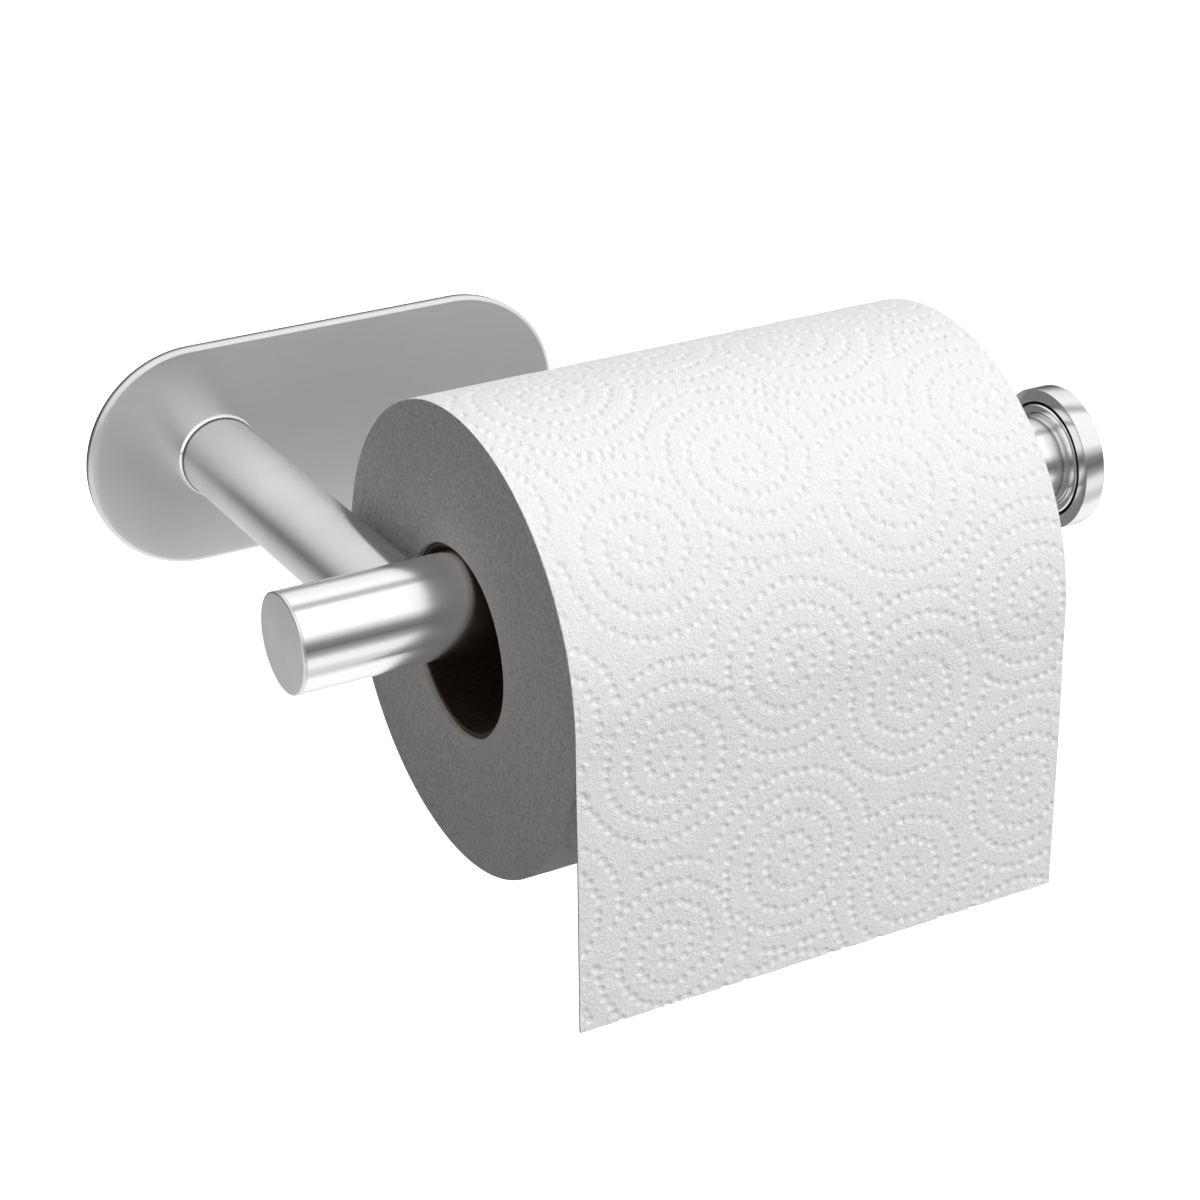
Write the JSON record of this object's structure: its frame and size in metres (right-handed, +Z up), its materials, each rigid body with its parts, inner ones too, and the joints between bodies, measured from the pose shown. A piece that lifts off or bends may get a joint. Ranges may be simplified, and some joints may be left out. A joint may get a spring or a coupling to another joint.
{
  "type": "toilet paper holder",
  "caption": "Wall-mounted toilet paper holder: obround steel plate, offset post, straight bar with an end disc, and a paper roll on it with its end hanging down.",
  "frame": {"origin": "centre of the adhesive pad's wall face", "axes": "+Z up; +X along the bar towards its free end with the disc; +Y into the wall, so the holder stands out towards -Y"},
  "size_m": [0.1932, 0.1481, 0.115],
  "materials": {
    "satin_steel": "satin",
    "polished_steel": "polished",
    "fastener_steel": "satin",
    "pad_foam": "matte",
    "black_rubber": "matte",
    "core_board": "matte",
    "wound_tissue": "matte",
    "embossed_tissue": "matte"
  },
  "bodies": {
    "holder": {"adhesive_pad": "pad_foam", "wall_plate": "satin_steel", "tie_screw": "fastener_steel", "post_collar": "polished_steel", "post_rear_bush": "fastener_steel", "post_tube": "satin_steel", "post_front_bush": "fastener_steel", "bar_tube": "polished_steel", "bar_slug": "fastener_steel", "bar_end_cap": "satin_steel", "cap_ring": "black_rubber", "bar_end_plug": "fastener_steel", "end_stud": "fastener_steel", "bar_collar": "polished_steel", "end_disc": "polished_steel", "disc_seal": "black_rubber"},
    "hanging_sheet": {"rear_ply": "embossed_tissue"},
    "roll": {"core_tube": "core_board", "wound_paper": "wound_tissue"},
    "drawn_sheet": {"front_ply": "embossed_tissue"}
  },
  "joints": [
    {"name": "roll_slide", "type": "slide", "parent": "holder", "child": "hanging_sheet", "axis": [1, 0, 0], "range_m": [-0.0018, 0.03]},
    {"name": "roll_spin", "type": "hinge", "parent": "hanging_sheet", "child": "roll", "pos_m": [0.04155, -0.0977, -0.0096], "axis": [1, 0, 0], "range_deg": [0, 68.7]},
    {"name": "sheet_draw", "type": "slide", "parent": "hanging_sheet", "child": "drawn_sheet", "axis": [0, 0, -1], "range_m": [0, 0.06]}
  ],
  "couplings": [
    {"joint": "sheet_draw", "follows": "roll_spin", "m_per_rad": 0.05}
  ]
}
